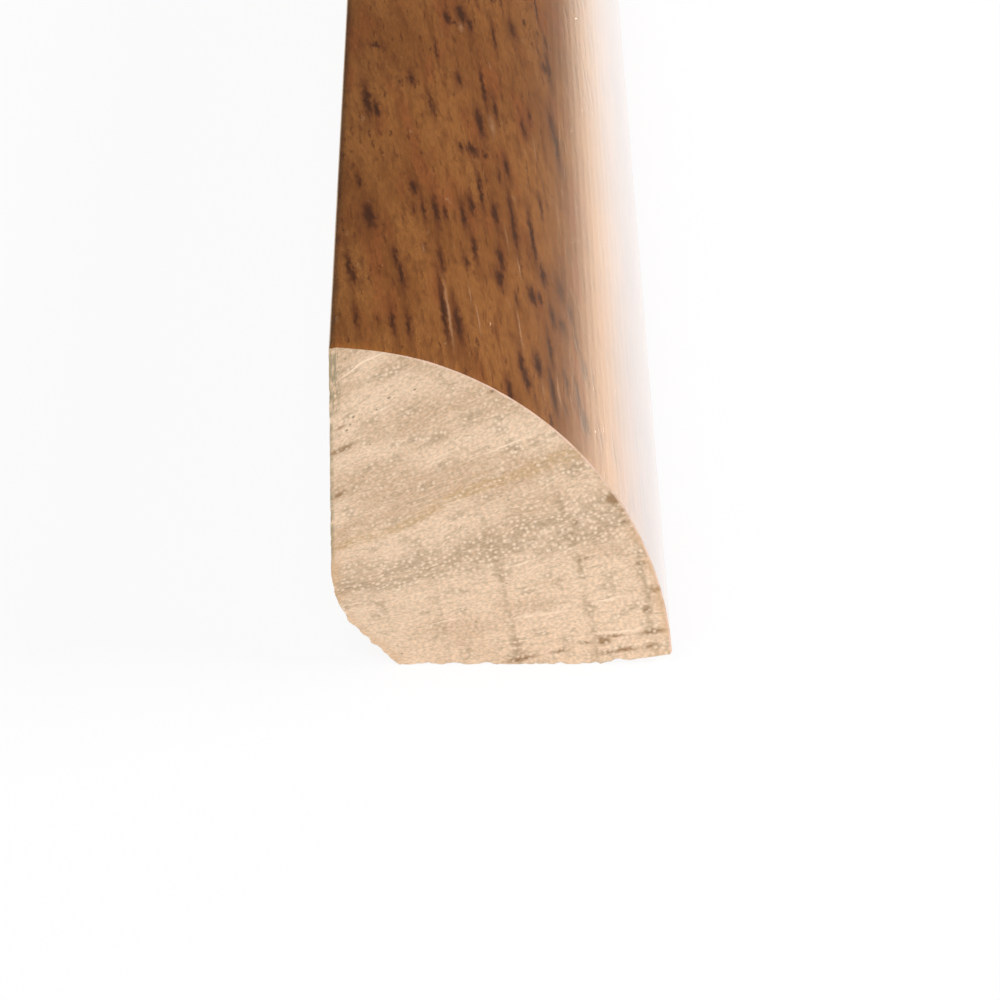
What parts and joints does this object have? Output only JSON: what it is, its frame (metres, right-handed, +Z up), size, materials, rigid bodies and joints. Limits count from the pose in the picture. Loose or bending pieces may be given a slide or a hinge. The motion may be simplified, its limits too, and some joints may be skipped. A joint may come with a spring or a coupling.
{
  "type": "quarter round moulding",
  "caption": "Length of solid wood quarter round trim with a stained, varnished round face, two flat legs at a right angle, a relieved back corner and raw sawn ends.",
  "frame": {"origin": "on the floor face, under the middle of the stick's bounding box", "axes": "+Y along the stick, +Z up from the floor face, -X towards the wall that the back face goes against"},
  "size_m": [0.019, 1.9812, 0.019],
  "materials": {
    "stained_wood": "satin"
  },
  "bodies": {
    "root": {"quarter_round": "stained_wood"}
  },
  "joints": []
}
